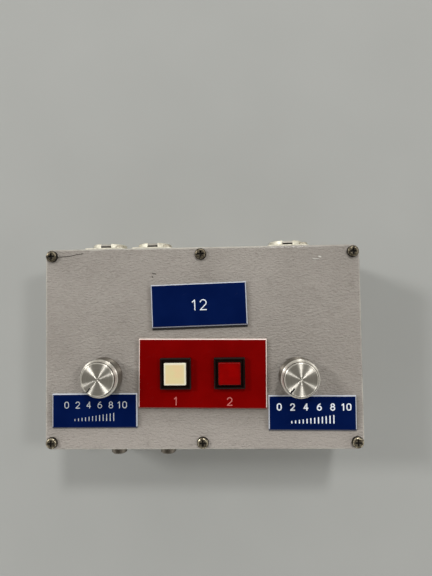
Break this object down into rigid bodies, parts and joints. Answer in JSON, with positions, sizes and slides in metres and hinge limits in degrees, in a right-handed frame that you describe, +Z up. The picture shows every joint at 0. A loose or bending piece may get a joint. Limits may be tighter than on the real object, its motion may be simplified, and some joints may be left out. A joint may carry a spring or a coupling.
{
  "type": "desk control box",
  "caption": "Cast desk control box with volume knobs, square push buttons, engraved plates, XLR sockets and headphone jacks.",
  "frame": {"origin": "on the desk under the middle of the box, level with the bottoms of the feet", "axes": "+X to the user's right along the long side, +Y to the rear wall with the XLR sockets, +Z up out of the lid"},
  "size_m": [0.188, 0.1328, 0.075],
  "materials": {
    "enclosure_paint": "grey enamel over cast aluminium, fine pebble texture",
    "dark_screw": "blackened steel",
    "plated_screw": "worn nickel plating over brass colour",
    "rubber": "matt black rubber",
    "blue_laminate": "blue engraving laminate with a white core",
    "red_laminate": "red engraving laminate with a white core",
    "knob_aluminium": "fine turned rings on face and cone, smooth side",
    "black_steel": "blackened steel",
    "brass": "plain brass",
    "bright_steel": "plated steel",
    "phenolic": "brown paper laminate",
    "tinned": "tinned brass",
    "black_plastic": "black moulding",
    "cream_lens": "cream translucent plastic",
    "red_lens": "red translucent plastic",
    "nickel": "satin nickel on zinc casting"
  },
  "bodies": {
    "enclosure": {"enclosure_shell": "enclosure_paint", "lid": "enclosure_paint", "rear_lid_screws": "dark_screw", "front_lid_screws": "plated_screw", "rubber_feet": "rubber", "title_plate": "blue_laminate", "left_scale_plate": "blue_laminate", "right_scale_plate": "blue_laminate", "button_plate": "red_laminate", "left_pot_bushing": "brass", "left_pot_track": "phenolic", "left_pot_cover": "bright_steel", "right_pot_bushing": "brass", "right_pot_track": "phenolic", "right_pot_cover": "bright_steel", "pot_terminals": "tinned", "pot_washers": "bright_steel", "pot_nuts": "bright_steel", "talk_bezel": "black_plastic", "talk_switch_base": "phenolic", "mute_bezel": "black_plastic", "mute_switch_base": "phenolic", "switch_nuts": "black_plastic", "switch_terminals": "tinned", "left_xlr_housing": "nickel", "left_xlr_insert": "black_plastic", "middle_xlr_housing": "nickel", "middle_xlr_insert": "black_plastic", "right_xlr_housing": "nickel", "right_xlr_insert": "black_plastic", "xlr_contacts": "tinned", "xlr_latch_pins": "bright_steel", "xlr_screws": "bright_steel", "xlr_nuts": "bright_steel", "left_jack_frame": "nickel", "left_jack_springs": "tinned", "right_jack_frame": "nickel", "right_jack_springs": "tinned", "jack_insulators": "phenolic", "jack_nuts": "nickel", "jack_washers": "nickel"},
    "left_knob_body": {"left_knob": "knob_aluminium", "left_knob_screw": "black_steel", "left_pot_shaft": "bright_steel"},
    "right_knob_body": {"right_knob": "knob_aluminium", "right_knob_screw": "black_steel", "right_pot_shaft": "bright_steel"},
    "talk_button": {"talk_lens": "cream_lens", "talk_plunger": "black_plastic"},
    "mute_button": {"mute_lens": "red_lens", "mute_plunger": "black_plastic"},
    "left_latch": {"left_xlr_latch": "bright_steel"},
    "middle_latch": {"middle_xlr_latch": "bright_steel"},
    "right_latch": {"right_xlr_latch": "bright_steel"}
  },
  "joints": [
    {"name": "left_volume_turn", "type": "hinge", "parent": "enclosure", "child": "left_knob_body", "pos_m": [-0.0579, -0.016, 0.0617], "axis": [0, 0, -1], "range_deg": [0, 280]},
    {"name": "right_volume_turn", "type": "hinge", "parent": "enclosure", "child": "right_knob_body", "pos_m": [0.0559, -0.017, 0.0617], "axis": [0, 0, -1], "range_deg": [0, 280]},
    {"name": "talk_press", "type": "slide", "parent": "enclosure", "child": "talk_button", "axis": [0, 0, -1], "range_m": [0, 0.002], "stiffness_N_per_m": 600, "springref_m": -0.002},
    {"name": "mute_press", "type": "slide", "parent": "enclosure", "child": "mute_button", "axis": [0, 0, -1], "range_m": [0, 0.002], "stiffness_N_per_m": 600, "springref_m": -0.002},
    {"name": "left_latch_rock", "type": "hinge", "parent": "enclosure", "child": "left_latch", "pos_m": [-0.062, 0.06069, 0.04286], "axis": [-1, 0, 0], "range_deg": [0, 6], "stiffness_Nm_per_rad": 0.1, "springref_deg": -5.73},
    {"name": "middle_latch_rock", "type": "hinge", "parent": "enclosure", "child": "middle_latch", "pos_m": [-0.032, 0.06069, 0.04286], "axis": [-1, 0, 0], "range_deg": [0, 6], "stiffness_Nm_per_rad": 0.1, "springref_deg": -5.73},
    {"name": "right_latch_rock", "type": "hinge", "parent": "enclosure", "child": "right_latch", "pos_m": [0.054, 0.06069, 0.04286], "axis": [-1, 0, 0], "range_deg": [0, 6], "stiffness_Nm_per_rad": 0.1, "springref_deg": -5.73}
  ]
}
